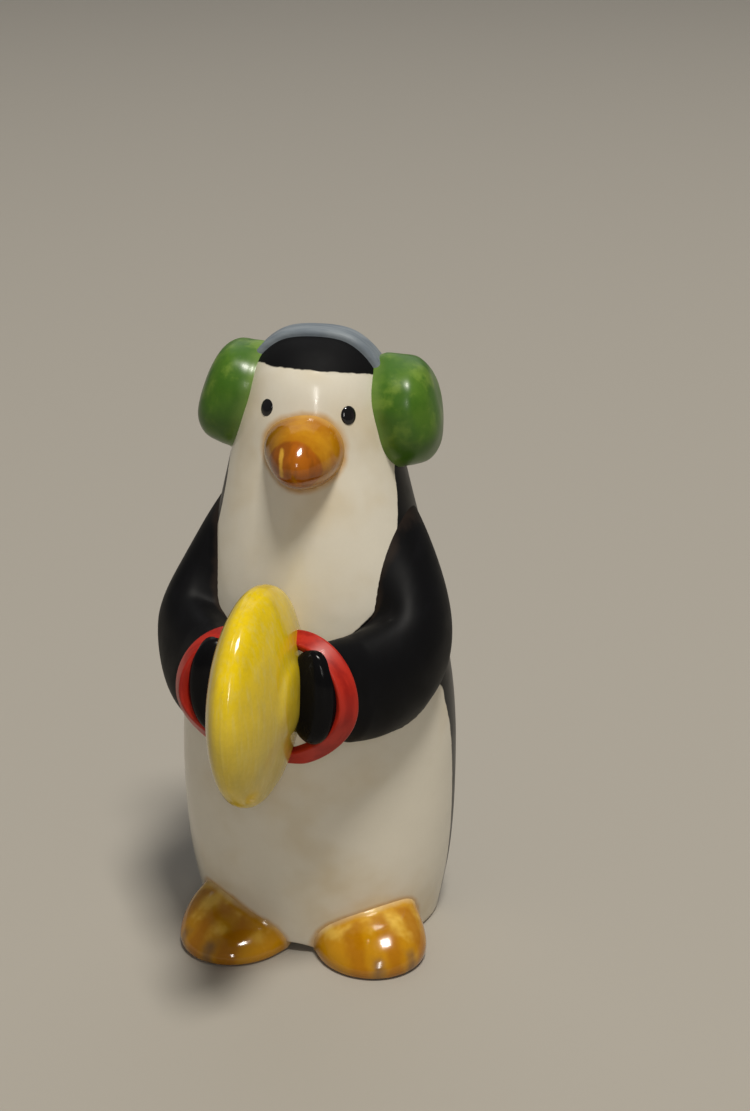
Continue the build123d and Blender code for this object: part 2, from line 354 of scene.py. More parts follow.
def laid_on(tree, ground, *coats):
    """Coats of colour laid one over another on a ground, each with the mask of where it covers."""
    for mask, colour in coats:
        ground = mix(tree, mask, ground, colour)
    return ground


def ramp(tree, value, low, high, bottom=0.0, top=1.0):
    """A number carried smoothly from one range to another, and held at the ends."""
    inputs = {"Value": value, "From Min": low, "From Max": high, "To Min": bottom, "To Max": top}
    return node(tree, "ShaderNodeMapRange", inputs, interpolation_type="SMOOTHSTEP").outputs[0]


def place_on(tree):
    """Where a point lies on its piece."""
    return node(tree, "ShaderNodeTexCoord").outputs["Object"]


def place_along(tree, axis):
    """Where a point lies on its piece, along X, Y or Z."""
    return node(tree, "ShaderNodeSeparateXYZ", {0: place_on(tree)}).outputs[axis]


def noise(tree, place, scale, detail=2.0):
    """Soft noise over the piece, from 0 to 1."""
    inputs = {"Vector": place, "Scale": scale, "Detail": detail, "Roughness": 0.55}
    return node(tree, "ShaderNodeTexNoise", inputs).outputs[0]


def stored(tree, name):
    """A number stored on the piece's points."""
    return node(tree, "ShaderNodeAttribute", attribute_name=name).outputs["Fac"]


def within(tree, name, reach):
    """How far a point lies within a reach of the form that its stored distance is measured from."""
    return math(tree, "SUBTRACT", reach, stored(tree, name))


def shader_group(name, takes, gives):
    """A shader node group with named sockets; it returns the group, its inputs and its output node."""
    group = bpy.data.node_groups.new(name, "ShaderNodeTree")
    for socket, kind, value in takes:
        made = group.interface.new_socket(socket, in_out="INPUT", socket_type=kind)
        made.default_value = value
    for socket, kind in gives:
        group.interface.new_socket(socket, in_out="OUTPUT", socket_type=kind)
    return group, group.nodes.new("NodeGroupInput").outputs, group.nodes.new("NodeGroupOutput")


FLOAT, COLOUR = "NodeSocketFloat", "NodeSocketColor"

# Clear glaze over colour: it pools paler and deeper, carries a slow ripple and a few pinholes
glaze_group, takes, gives = shader_group(
    "Clear glaze",
    [("Colour", COLOUR, (1, 1, 1, 1)), ("Mottle", FLOAT, 0.1), ("Gloss", FLOAT, 0.14)],
    [("Colour", COLOUR), ("Roughness", FLOAT), ("Height", FLOAT)],
)
pool_scale, grain_scale, ripple_scale, pit_scale = 210, 2600, 330, 520
place = place_on(glaze_group)
pools = noise(glaze_group, place, pool_scale, 3)
grain = noise(glaze_group, place, grain_scale, 2)
cloud = math(glaze_group, "ADD", times(glaze_group, pools, 0.7), times(glaze_group, grain, 0.3))
swing = times(glaze_group, math(glaze_group, "SUBTRACT", cloud, 0.5), takes["Mottle"])
shade = math(glaze_group, "ADD", times(glaze_group, swing, 2.2), 1.0)
tinted = vector_math(glaze_group, "MULTIPLY", takes["Colour"], shade)[0]
glaze_group.links.new(tinted, gives.inputs["Colour"])
duller = times(glaze_group, ramp(glaze_group, pools, 0.35, 0.75), 0.10)
glaze_group.links.new(math(glaze_group, "ADD", takes["Gloss"], duller), gives.inputs["Roughness"])
pits = node(glaze_group, "ShaderNodeTexVoronoi", {"Vector": place, "Scale": pit_scale}).outputs["Distance"]
pinhole = times(glaze_group, ramp(glaze_group, pits, 0.0, 0.09, 1.0, 0.0), -0.35)
slow = noise(glaze_group, place, ripple_scale, 1)
waves = math(glaze_group, "ADD", slow, times(glaze_group, grain, 0.05))
glaze_group.links.new(math(glaze_group, "ADD", waves, pinhole), gives.inputs["Height"])

# A brushed border: a stored distance turned into a mask, with the small wander of a brush held by hand
edge_group, takes, gives = shader_group(
    "Brushed border",
    [("Gap", FLOAT, 0.0), ("Softness", FLOAT, 0.0001), ("Wander", FLOAT, 0.0001), ("Scale", FLOAT, 500.0)],
    [("Mask", FLOAT)],
)
drift = math(edge_group, "SUBTRACT", noise(edge_group, place_on(edge_group), takes["Scale"], 2), 0.5)
wandered = math(edge_group, "ADD", takes["Gap"], times(edge_group, drift, takes["Wander"]))
near_side = times(edge_group, takes["Softness"], -1.0)
edge_group.links.new(ramp(edge_group, wandered, near_side, takes["Softness"]), gives.inputs["Mask"])


def brushed(tree, gap, softness, wander, scale, strength=1.0):
    """Where a colour is brushed on, up to a soft border that wanders, and how strongly it covers there."""
    border = {"Gap": gap, "Softness": softness, "Wander": wander, "Scale": scale}
    mask = node(tree, "ShaderNodeGroup", border, node_tree=edge_group).outputs["Mask"]
    return times(tree, mask, strength)


ripple_depth = 0.12 * mm
clear_coat_roughness = 0.05


def glazed(name, colour_of, mottle, gloss, ripple=0.25, shine=0.5, dullness_of=None, clear_coat=0.15):
    """A glossy glazed finish, over the colour that a function draws in the material's own tree."""
    material = bpy.data.materials.new(name)
    material.use_nodes = True
    tree = material.node_tree
    shader = tree.nodes["Principled BSDF"]
    finish = {"Colour": colour_of(tree), "Mottle": mottle, "Gloss": gloss}
    glaze = node(tree, "ShaderNodeGroup", finish, node_tree=glaze_group).outputs
    ripples = {"Strength": ripple, "Distance": ripple_depth, "Height": glaze["Height"]}
    bump = node(tree, "ShaderNodeBump", ripples).outputs[0]
    tree.links.new(glaze["Colour"], shader.inputs["Base Color"])
    roughness = glaze["Roughness"]
    if dullness_of:
        roughness = math(tree, "ADD", roughness, dullness_of(tree))
    tree.links.new(roughness, shader.inputs["Roughness"])
    tree.links.new(bump, shader.inputs["Normal"])
    shader.inputs["Specular IOR Level"].default_value = shine
    shader.inputs["Coat Weight"].default_value = clear_coat
    shader.inputs["Coat Roughness"].default_value = clear_coat_roughness
    return material


ivory = paint(226, 219, 203)
ivory_warm = paint(214, 200, 172)
black = paint(13, 13, 15)
thin_black = paint(66, 56, 47)
amber = paint(196, 144, 52)
bare_clay = paint(206, 192, 170)


def under_coat(tree):
    """Where the black coat covers the clay."""
    return brushed(tree, stored(tree, "coat"), 0.07 * mm, 0.35 * mm, 700)


def body_colour(tree):
    """Ivory front and black coat, thin black smeared along the border, and amber run from feet and beak."""
    stain = ramp(tree, noise(tree, place_on(tree), 90, 3), 0.45, 0.8)
    coats = [(stain, ivory_warm)]
    for gap_name in ("foot_gap", "beak_gap"):
        spill = brushed(tree, within(tree, gap_name, 0.25 * mm), 0.45 * mm, 0.7 * mm, 420, 0.85)
        coats.append((spill, amber))
    smear = brushed(tree, stored(tree, "coat"), 0.30 * mm, 0.9 * mm, 300, 0.22)
    coats += [(smear, thin_black), (under_coat(tree), black), (stored(tree, "bare"), bare_clay)]
    return laid_on(tree, ivory, *coats)


def body_dullness(tree):
    """The bare foot ring is matt, and the black coat is duller than the ivory, most of all on the crown."""
    crown = ramp(tree, place_along(tree, "Z"), crown_start, crown_full, 0.3, 1.0)
    coat = times(tree, under_coat(tree), crown)
    return times(tree, math(tree, "MAXIMUM", stored(tree, "bare"), coat), 0.5)


# The black coat also has less shine than the ivory front, from just outside its wandering border
coat_start = -0.25 * mm
body_finish = {"mottle": 0.05, "gloss": 0.13, "dullness_of": body_dullness, "clear_coat": 0.0}
body.data.materials.append(glazed("ivory glaze", body_colour, **body_finish))
body.data.materials.append(glazed("black coat glaze", body_colour, ripple=0.2, shine=0.12, **body_finish))
for face in body.data.polygons:
    face.material_index = int(min(coat_gap[corner] for corner in face.vertices) > coat_start)
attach(body, "root")
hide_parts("body")

# Flippers: solid rolled arms of clay, luted to the shoulders and bent round to hold the cymbals.
# They are brushed black all over, and the colour thins to brown where it meets the ivory in the crease.
cymbal_low, cymbal_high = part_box("left_cymbal")
cymbal_radius = (cymbal_high.z - cymbal_low.z) / 2
cymbal_thickness = cymbal_high.x
cymbal_centre = Vector((0, cymbal_low.y + cymbal_radius, (cymbal_low.z + cymbal_high.z) / 2))
flipper_thickness, flipper_breadth = 8.6 * mm, 13.8 * mm
arm_rings, hand_rings, arm_around = 90, 16, 72
# Shoulder, upper arm and elbow: place as shares of the trunk's half width, half depth and height,
# then thickness and breadth
arm_shares = [
    (0.340, 0.060, 0.785, 0.45, 0.46),
    (0.585, -0.040, 0.665, 0.90, 0.80),
    (0.780, -0.520, 0.507, 1.00, 1.00),
]
forearm_along_share, forearm_sag_share = 0.46, 0.060
forearm_thickness_share, forearm_breadth_share = 1.05, 0.92
wrist_out_share, wrist_back_share, wrist_drop_share = 0.14, 0.150, 0.060
wrist_heading = Vector((-0.30, -0.95, 0.05)).normalized()
wrist_length = 2.2 * mm
wrist_thickness, wrist_breadth = flipper_thickness * 0.76, flipper_breadth * 0.74
wrist_place = cymbal_centre + Vector((
    cymbal_thickness + flipper_thickness * wrist_out_share,
    2 * cymbal_radius * wrist_back_share,
    -2 * cymbal_radius * wrist_drop_share,
))
wrist_settling = 6 * mm
hand_length, hand_lift = 1.6 * mm, 0.7 * mm
hand_thickness_share, hand_breadth_share = 0.94, 1.07
hand_bluntness = 0.85
flipper_wave, flipper_wave_depth, flipper_seed = 17 * mm, 0.12 * mm, 11
flipper_joint, flipper_joint_spread = 2.2 * mm, 0.8 * mm
hand_edge, arm_dull = 2 * mm, 0.34


def across_arm(heading):
    """The two ways across the arm: away from the trunk, and along the flipper's breadth."""
    outward = Vector((1, 0, 0))
    outward = (outward - heading * outward.dot(heading)).normalized()
    return np.array(outward), np.array(heading.cross(outward))


def ring_about(middle, oval, first, second):
    """An oval drawn about a middle, along two directions."""
    return np.array(middle) + oval[:, :1] * np.array(first) + oval[:, 1:] * np.array(second)


def arm_ring(place, heading, halves):
    """An oval across the arm, from its half thickness and half breadth."""
    return ring_about(place, around_oval(*halves, arm_around), *across_arm(heading))


trunk_scale = [trunk_half_width, trunk_half_depth, trunk_height]
arm_halves = np.array([flipper_thickness / 2, flipper_breadth / 2])
hand_halves = np.array([wrist_thickness / 2 * hand_thickness_share, wrist_breadth / 2 * hand_breadth_share])
arm_rows = list(np.array(arm_shares) * [*trunk_scale, *arm_halves])
elbow = Vector(arm_rows[-1][:3])
forearm = elbow.lerp(wrist_place, forearm_along_share) - Vector((0, 0, flipper_breadth * forearm_sag_share))
arm_rows.append([*forearm, *arm_halves * [forearm_thickness_share, forearm_breadth_share]])
hand_place = wrist_place + Vector(across_arm(wrist_heading)[1]) * hand_lift
arm_rows.append([*(hand_place - wrist_heading * wrist_length / 2), *hand_halves])
arm_rows = smooth_rows(arm_rows, arm_rings)
flipper_rings = []
for row, heading in zip(arm_rows, np.gradient(arm_rows[:, :3], axis=0)):
    settle = min(1, np.linalg.norm(row[:3] - arm_rows[-1, :3]) / wrist_settling)
    heading = Vector(heading).normalized().lerp(wrist_heading, 1 - settle).normalized()
    flipper_rings.append(arm_ring(row[:3], heading, row[3:]))
for turn in np.linspace(0, pi / 2, hand_rings):
    place = hand_place + wrist_heading * (wrist_length / 2 + hand_length * sin(turn))
    flipper_rings.append(arm_ring(place, wrist_heading, hand_halves * cos(turn) ** hand_bluntness))
flipper_rings = np.array(flipper_rings)
# Thumbed smooth along the arm, and most of all inside the bend of the elbow
thumb_rounds, thumb_rounds_all_over, thumbed_rings = 300, 60, 79
from_middle = flipper_rings - flipper_rings.mean(axis=1, keepdims=True)
into_bend = np.array((Vector(arm_rows[0, :3]).lerp(wrist_place, 0.5) - elbow).normalized())
inside_bend = np.clip(from_middle @ into_bend / np.linalg.norm(from_middle, axis=2).clip(1e-6), 0, 1)
before, thumbed, after = [flipper_rings[start : start + thumbed_rings] for start in range(3)]
for round_number in range(thumb_rounds):
    share = 1.0 if round_number < thumb_rounds_all_over else inside_bend[1 : 1 + thumbed_rings, :, None]
    thumbed += share * ((before + 2 * thumbed + after) / 4 - thumbed)
worn_black = paint(22, 22, 25)
thin_brown = paint(58, 46, 38)

# Brush strokes: streaks drawn out along one way, heavy and thin by turns
stroke_group, takes, gives = shader_group(
    "Brush strokes",
    [("Stretch", "NodeSocketVector", (1, 1, 1)), ("Low", FLOAT, 0.4), ("High", FLOAT, 0.6)],
    [("Stroke", FLOAT), ("Bristle", FLOAT)],
)
drawn = vector_math(stroke_group, "MULTIPLY", place_on(stroke_group), takes["Stretch"])[0]
broad = noise(stroke_group, drawn, 1, 3)
stroke_group.links.new(ramp(stroke_group, broad, takes["Low"], takes["High"]), gives.inputs["Stroke"])
stroke_group.links.new(noise(stroke_group, drawn, 4, 2), gives.inputs["Bristle"])


def strokes_of(tree, stretch, low, high):
    """The strokes of a brush and the marks of its bristles."""
    drawn_out = {"Stretch": stretch, "Low": low, "High": high}
    return node(tree, "ShaderNodeGroup", drawn_out, node_tree=stroke_group).outputs


def flipper_colour(tree):
    """Black, worn thin and brown in the crease beside the trunk."""
    faded = times(tree, strokes_of(tree, (900, 260, 260), 0.45, 0.75)["Stroke"], 0.35)
    paler_part = brushed(tree, within(tree, "trunk_gap", 0.35 * mm), 0.35 * mm, 1.2 * mm, 380, 0.4)
    return laid_on(tree, black, (faded, worn_black), (paler_part, thin_brown))


def arm_dullness(tree):
    """The glaze lies thin and dull on the arms, and thick and bright on the hands."""
    return ramp(tree, place_along(tree, "Y"), wrist_place.y, wrist_place.y + hand_edge, 0.0, arm_dull)


def mirrored(points, side):
    """Points drawn for the penguin's left, or turned over for its right."""
    return points * np.array([side, 1, 1])


def shape_by_hand(piece, length, depth, seed):
    """Moves a piece's surface in and out by the unevenness of handwork."""
    points = points_of(piece)
    move_points(piece, points + normals_of(piece) * waver(points, length, depth, seed)[:, None])


black_finish = {"mottle": 0.10, "gloss": 0.14, "ripple": 0.2, "shine": 0.10, "clear_coat": 0.0}
black_glaze = glazed("black glaze", flipper_colour, dullness_of=arm_dullness, **black_finish)
for name, side in (("left", 1), ("right", -1)):
    flipper = skin(name + "_flipper_clay", mirrored(flipper_rings, side))
    shape_by_hand(flipper, flipper_wave, flipper_wave_depth, flipper_seed + side)
    lute(flipper, flipper_joint, flipper_joint_spread)
    keep_value(flipper, "trunk_gap", trunk_gap(points_of(flipper))[0])
    flipper.data.materials.append(black_glaze)
    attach(flipper, "root")
    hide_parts(name + "_flipper")

# Feet: two pads of clay pressed on at the front of the base, flat underneath and splayed unevenly.
# Amber colour is brushed on from the heel to the toes, with three deeper lobes for the toes and brown
# between them, and it bleeds a little into the ivory. The soles are bare.
foot_width, foot_length, foot_height = 13.2 * mm, 14.6 * mm, 7.5 * mm
foot_around = 72
foot_wave, foot_wave_depth, foot_seed = 9 * mm, 0.10 * mm, 21
foot_joint, foot_joint_spread = 0.8 * mm, 0.2 * mm
even_sole_height = 2 * mm
sole_height = 0.06 * mm
# Height, width, length and set-back towards the trunk, from the sole up, as shares of the foot's own
foot_shares = [
    (0.00, 0.90, 0.90, 0.00),
    (0.05, 0.97, 0.97, 0.00),
    (0.22, 1.00, 1.00, 0.00),
    (0.50, 0.96, 0.94, 0.03),
    (0.75, 0.83, 0.77, 0.08),
    (0.92, 0.58, 0.50, 0.14),
    (0.995, 0.20, 0.17, 0.18),
    (1.00, 0.00, 0.00, 0.185),
]
foot_rows = smooth_rows(foot_shares, 60)
# Each foot's splay in degrees, and how far it slopes down to its inner side
foot_stances = [("left", 1, 40, 0.40), ("right", -1, 30, 0.52)]
toe_places, toe_half_width, toe_start = (-0.38, 0.0, 0.38), 0.95 * mm, 0.10
cleft_places, cleft_half_width, cleft_start = (-0.19, 0.19), 0.45 * mm, 0.22
cleft_height = 2.6 * mm
toe_fan, toe_fan_spread = 0.62, 0.45
honey = paint(222, 180, 76)
mid_amber = paint(188, 132, 10)
deep_amber = paint(166, 104, 2)
toe_brown = paint(118, 88, 58)


def foot_colour(tree):
    """Honey and amber, deeper over the toes, brown between them, with a soft edge and a bare sole."""
    patches = times(tree, strokes_of(tree, (260, 260, 200), 0.36, 0.68)["Stroke"], 0.5)
    # Paler honey towards the top of the foot
    paler_part = ramp(tree, math(tree, "ADD", stored(tree, "rise"), patches), 0.55, 1.15)
    toe = brushed(tree, stored(tree, "toe"), 0.6 * mm, 1.9 * mm, 330, 0.8)
    cleft = brushed(tree, stored(tree, "cleft"), 0.7 * mm, 1.5 * mm, 460, 0.85)
    edge = brushed(tree, within(tree, "trunk_gap", 0.2 * mm), 0.5 * mm, 0.8 * mm, 420, 0.5)
    toes = (toe, deep_amber), (cleft, toe_brown)
    borders = (edge, ivory_warm), (stored(tree, "bare"), bare_clay)
    return laid_on(tree, mid_amber, (paler_part, honey), *toes, *borders)


def nearest_line(aside, fan, places):
    """How far each point lies from the nearest of the lines that fan out over the foot."""
    return np.min([np.abs(aside - place * fan) for place in places], axis=0)


amber_glaze = glazed("amber glaze", foot_colour, mottle=0.16, gloss=0.09)
feet = []
for name, side, splay, slope in foot_stances:
    swing = radians(splay)
    ahead = np.array([side * sin(swing), -cos(swing), 0])
    beside = np.array([cos(swing), side * sin(swing), 0])
    stand = 1 / ((sin(swing) / edge_width) ** 2 + (cos(swing) / edge_depth) ** 2) ** 0.5
    rings = []
    for height, width, length, setback in foot_rows:
        oval = around_oval(foot_width * width / 2, foot_length * length / 2, foot_around)
        middle = ahead * (stand - foot_length * setback) + np.array([0, 0, foot_height * height])
        rings.append(ring_about(middle, oval, beside, ahead))
    foot = skin(name + "_foot_clay", np.array(rings))
    points = points_of(foot)
    inward = np.clip(0.5 - side * ((points - ahead * stand) @ beside) / foot_width, 0, 1)
    points[:, 2] *= 1 - slope * inward
    move_points(foot, points)
    above_sole = np.clip(points[:, 2] / even_sole_height, 0, 1)
    uneven = waver(points, foot_wave, foot_wave_depth, foot_seed + side) * above_sole
    move_points(foot, points + normals_of(foot) * uneven[:, None])
    lute(foot, foot_joint, foot_joint_spread)
    # The sole ends at the trunk's edge: behind it the pad is drawn up into the base
    points = points_of(foot)
    behind_edge = (1 - share_from_axis(points)) * edge_width
    drawn_up = np.clip(behind_edge / (0.8 * foot_ring_width), 0, 1) * base_thickness / 2
    points[:, 2] = np.maximum(points[:, 2], sole_height + drawn_up)
    move_points(foot, points)
    keep_value(foot, "bare", points[:, 2] < 1.5 * sole_height)
    local = points - ahead * stand
    aside, forward = local @ beside, local @ ahead
    fan = foot_width * (toe_fan + toe_fan_spread * forward / foot_length)
    toe = toe_half_width - nearest_line(aside, fan, toe_places)
    keep_value(foot, "toe", np.minimum(toe, forward - foot_length * toe_start))
    cleft = cleft_half_width - nearest_line(aside, fan, cleft_places)
    cleft = np.minimum(cleft, cleft_height - points[:, 2])
    keep_value(foot, "cleft", cleft - np.maximum(0, foot_length * cleft_start - forward))
    keep_value(foot, "rise", points[:, 2] / foot_height)
    keep_value(foot, "trunk_gap", trunk_gap(points)[0])
    foot.data.materials.append(amber_glaze)
    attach(foot, "root")
    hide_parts(name + "_foot")
    feet.append(foot)


def gap_to(points, pieces):
    """How far each point lies from the nearest of several pieces."""
    nearest = np.full(len(points), np.inf)
    for piece in pieces:
        surface = surface_of(piece)
        nearest = np.minimum(nearest, [surface.find_nearest(Vector(point))[3] for point in points])
    return nearest


keep_value(body, "foot_gap", gap_to(points_of(body), feet))

# Beak: a blunt cone of clay pushed on to the face. Amber is washed over it, darker on the cone than at its
# root, and the wash bleeds into the ivory round it.
head_centre = trunk_height * 0.894
head_shift = 0.45 * mm
head_turn, head_tilt = radians(5), radians(3.6)
head_pose = Matrix.Rotation(head_turn, 4, "Z") @ Matrix.Rotation(head_tilt, 4, "Y")
head_frame = Matrix.Translation((head_shift, 0, head_centre)) @ head_pose


def in_head(x, y, z):
    """A point given square to the head, at its height above the floor."""
    return head_frame @ Vector((x, y, z - head_centre))


def head_way(x, y, z):
    """A direction given square to the head."""
    return (head_frame.to_3x3() @ Vector((x, y, z))).normalized()


def trunk_half(height):
    """The trunk's half width and half depth at a height."""
    heights = outer_rows[::-1, 0]
    return np.interp(height, heights, outer_rows[::-1, 1]), np.interp(height, heights, outer_rows[::-1, 2])


beak_width, beak_depth, beak_length, beak_sink = 9.1 * mm, 8.3 * mm, 5.6 * mm, 2.4 * mm
beak_level = trunk_height * 0.845
beak_droop = radians(4)
beak_around = 72
beak_wave, beak_wave_depth, beak_seed = 7 * mm, 0.08 * mm, 31
beak_joint, beak_joint_spread = 0.6 * mm, 0.1 * mm
# Distance out from the root and breadth, as shares of the beak's own
beak_shares = [
    (0.00, 1.00), (0.28, 0.94), (0.55, 0.79), (0.78, 0.58), (0.93, 0.34), (0.99, 0.12), (1.00, 0.00),
]
beak_place = in_head(0, -trunk_half(beak_level)[1], beak_level)
beak_way = head_way(0, -cos(beak_droop), -sin(beak_droop))
beak_across = head_way(0, 0, 1).cross(beak_way).normalized()
beak_up = beak_way.cross(beak_across)
beak_rings = []
for reach, size in smooth_rows(beak_shares, 60):
    oval = around_oval(beak_width / 2 * size, beak_depth / 2 * size, beak_around)
    middle = beak_place + beak_way * ((beak_sink + beak_length) * reach - beak_sink)
    beak_rings.append(ring_about(middle, oval, beak_across, beak_up))
beak = skin("beak_clay", np.array(beak_rings))
shape_by_hand(beak, beak_wave, beak_wave_depth, beak_seed)
lute(beak, beak_joint, beak_joint_spread)
points = points_of(beak)
local = points - np.array(beak_place)
reach, aside, above = [local @ np.array(way) for way in (beak_way, beak_across, beak_up)]
# The brown wash starts some way out, and one golden streak runs down the cone beside its middle, partly a
# brush stroke and partly a painted highlight
wash_start = 3.2 * mm
gold_aside, gold_above, gold_half_length, gold_half_width = 1.3 * mm, 0.6 * mm, 1.2 * mm, 0.20 * mm
keep_value(beak, "cone", reach - wash_start - 0.12 * aside)
past_gold = np.maximum(np.abs(above - gold_above) - gold_half_length, 0)
keep_value(beak, "gold_and_highlight_line", gold_half_width - np.hypot(aside + gold_aside + 0.1 * above, past_gold))
keep_value(beak, "aside", aside)
keep_value(beak, "trunk_gap", trunk_gap(points)[0])
root_amber, root_gold = paint(176, 112, 6), paint(196, 136, 18)
cone_brown, cone_dark = paint(170, 88, 8), paint(134, 66, 6)
# Painted shade: darker brown for the beak's right side, which turns away from the key light
side_shade_brown = paint(104, 62, 12)
# Pale gold for the streak down the cone, partly a brush stroke and partly a painted highlight
gold_stroke_and_highlight = paint(224, 172, 60)
root_pale = paint(216, 178, 104)


def beak_colour(tree):
    """Amber, paler at the root, a brown wash over the cone, painted shade in darker brown on the right
    side, and a golden streak that is partly a brush stroke and partly a painted highlight.
    """
    patches = strokes_of(tree, (330, 330, 260), 0.36, 0.70)["Stroke"]
    cone = brushed(tree, stored(tree, "cone"), 0.22 * mm, 1.0 * mm, 420, 0.8)
    brown = mix(tree, strokes_of(tree, (600, 400, 200), 0.40, 0.62)["Stroke"], cone_dark, cone_brown)
    # Painted shade: darker brown laid over the beak's right side, away from the key light
    darkening = times(tree, ramp(tree, stored(tree, "aside"), -0.6 * mm, -3.4 * mm), 0.5)
    # The golden streak: partly a brush stroke and partly a painted highlight
    gold_and_highlight = brushed(tree, stored(tree, "gold_and_highlight_line"), 0.18 * mm, 0.35 * mm, 900, 0.85)
    edge = brushed(tree, within(tree, "trunk_gap", 0.35 * mm), 0.5 * mm, 0.6 * mm, 420, 0.5)
    washes = (cone, brown), (darkening, side_shade_brown), (gold_and_highlight, gold_stroke_and_highlight)
    return laid_on(tree, root_amber, (patches, root_gold), *washes, (edge, root_pale))


beak.data.materials.append(glazed("beak glaze", beak_colour, mottle=0.12, gloss=0.10))
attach(beak, "root")
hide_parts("beak")
keep_value(body, "beak_gap", gap_to(points_of(body), [beak]))

# Eyes: two oval drops of black slip, touched on to the face with the tip of a brush.
# They dry domed by their own wetness, and the glaze runs over them.
eye_half_width, eye_half_height, eye_proud = 0.94 * mm, 1.02 * mm, 0.3 * mm
eye_edge_sink, eye_root = 0.08 * mm, 0.4 * mm
eye_level = trunk_height * 0.9036
eye_aside = 4.55 * mm
eye_turn = radians(30)
eye_rings, eye_around = 14, 40
clear_of_face = 3 * mm
eye_black, eye_bloom = paint(16, 15, 17), paint(34, 28, 27)


def eye_colour(tree):
    """Black with a faint brown bloom."""
    return mix(tree, ramp(tree, noise(tree, place_on(tree), 900), 0.5, 0.8), eye_black, eye_bloom)


eye_glaze = glazed("eye glaze", eye_colour, mottle=0.1, gloss=0.10)
for name, side in (("left", 1), ("right", -1)):
    half_width, half_depth = trunk_half(eye_level)
    round_face = (1 - (eye_aside / half_width) ** 2) ** 0.5
    eye_place = in_head(side * eye_aside, -half_depth * round_face, eye_level)
    facing = head_way(side * sin(eye_turn), -cos(eye_turn), 0)
    across = head_way(0, 0, 1).cross(facing).normalized()
    upward = facing.cross(across)
    rings = []
    for share in np.linspace(0, 1, eye_rings):
        ring = []
        for along, above in around_oval(eye_half_width * share, eye_half_height * share, eye_around):
            start = eye_place + facing * clear_of_face + across * along + upward * above
            hit = trunk_surface.ray_cast(start, -facing)[0]
            proud = eye_proud * (1 - share**2) ** 0.5 - eye_edge_sink * share**4
            ring.append(np.array(hit + facing * proud))
        rings.append(ring)
    rings.append([point - np.array(facing) * eye_root for point in rings[-1]])
    eye = skin(name + "_eye_drop", np.array(rings))
    eye.data.materials.append(eye_glaze)
    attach(eye, "root")
    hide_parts(name + "_eye")

# Ear muffs: puffed pads of clay pressed on to the sides of the head and modelled up to the band.
# They are dabbed with leaf green in short strokes, darker towards the bottom.
muff_radius, muff_thickness = 6.2 * mm, 5.0 * mm
muff_level = trunk_height * 0.884
muff_setback = 1.2 * mm
muff_lean = radians(14)
muff_around = 96
muff_squareness, muff_fill = 2.5, 0.965
muff_peak, muff_peak_spread, muff_peak_reach = 0.13, 0.30, 0.5
muff_wave, muff_wave_depth, muff_seed = 6.5 * mm, 0.10 * mm, 41
muff_joint, muff_joint_spread = 0.6 * mm, 0.15 * mm
# Distance out from the head's side and radius, as shares of the muff's thickness and radius
muff_shares = [
    (-0.52, 0.82), (-0.15, 0.97), (0.28, 1.00), (0.60, 0.94), (0.84, 0.74), (0.96, 0.44), (1.00, 0.12),
    (1.00, 0.00),
]
muff_rows = smooth_rows(muff_shares, 70)
leaf_dark, leaf_green = paint(64, 104, 26), paint(82, 118, 34)
leaf_yellow = paint(120, 148, 56)
leaf_deep = paint(54, 92, 10)
leaf_pale = paint(118, 144, 70)


def muff_colour(tree):
    """Leaf green with yellower dabs, darker towards the bottom, and a paler rim beside the face."""
    place = place_on(tree)
    dabs = strokes_of(tree, (340, 340, 240), 0.42, 0.66)["Stroke"]
    yellow = times(tree, ramp(tree, noise(tree, place, 380, 4), 0.50, 0.68), 0.65)
    cloudy = math(tree, "ADD", 0.35, times(tree, noise(tree, place, 260, 2), 0.7))
    # Darker green towards the bottom of the muff
    deep = times(tree, ramp(tree, stored(tree, "low_down"), 0.15, 0.85), cloudy)
    edge = brushed(tree, within(tree, "trunk_gap", 0.8 * mm), 0.8 * mm, 0.9 * mm, 420, 0.5)
    washes = (yellow, leaf_yellow), (deep, leaf_deep), (edge, leaf_pale)
    return laid_on(tree, leaf_dark, (dabs, leaf_green), *washes)


muff_finish = {"mottle": 0.2, "gloss": 0.30, "ripple": 0.5, "shine": 0.4, "clear_coat": 0.04}
green_glaze = glazed("green glaze", muff_colour, **muff_finish)
for name, side in (("left", 1), ("right", -1)):
    seat = in_head(side * trunk_half(muff_level)[0], muff_setback, muff_level)
    outward = head_way(side * cos(muff_lean), 0, sin(muff_lean))
    fore = head_way(0, 0, 1).cross(outward).normalized()
    upward = outward.cross(fore)
    turn = np.linspace(0, 2 * pi, muff_around, endpoint=False)
    round_muff = np.stack([np.cos(turn), np.sin(turn)], axis=1)
    square = (np.abs(round_muff) ** muff_squareness).sum(1) ** (-1 / muff_squareness)
    peak = muff_peak * np.exp(-(((turn - pi / 2) / muff_peak_spread) ** 2))
    rings = []
    for out, size in muff_rows:
        peaked = 1 + peak * max(0, 1 - max(out, 0) / muff_peak_reach)
        radius = muff_radius * size * square * peaked * muff_fill
        middle = seat + outward * muff_thickness * out
        rings.append(ring_about(middle, radius[:, None] * round_muff, fore, upward))
    muff = skin(name + "_ear_muff_clay", np.array(rings))
    shape_by_hand(muff, muff_wave, muff_wave_depth, muff_seed + side)
    lute(muff, muff_joint, muff_joint_spread)
    points = points_of(muff)
    keep_value(muff, "trunk_gap", trunk_gap(points)[0])
    keep_value(muff, "low_down", 0.5 - (points - np.array(seat)) @ np.array(upward) / (2 * muff_radius))
    muff.data.materials.append(green_glaze)
    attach(muff, "root")
    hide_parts(name + "_ear_muff")

# Headband: a strip of clay laid over the crown from muff to muff and thumbed down along its edges.
# A pale slate blue wash is brushed along it.
band_width, band_thickness, band_setback = 3.5 * mm, 1.0 * mm, 0.7 * mm
band_points, band_lean = 61, 1.75
band_middle_lift, band_sink = 0.5 * mm, 0.25 * mm
ray_length = 30 * mm
slate, slate_pale = paint(110, 119, 128), paint(134, 142, 149)


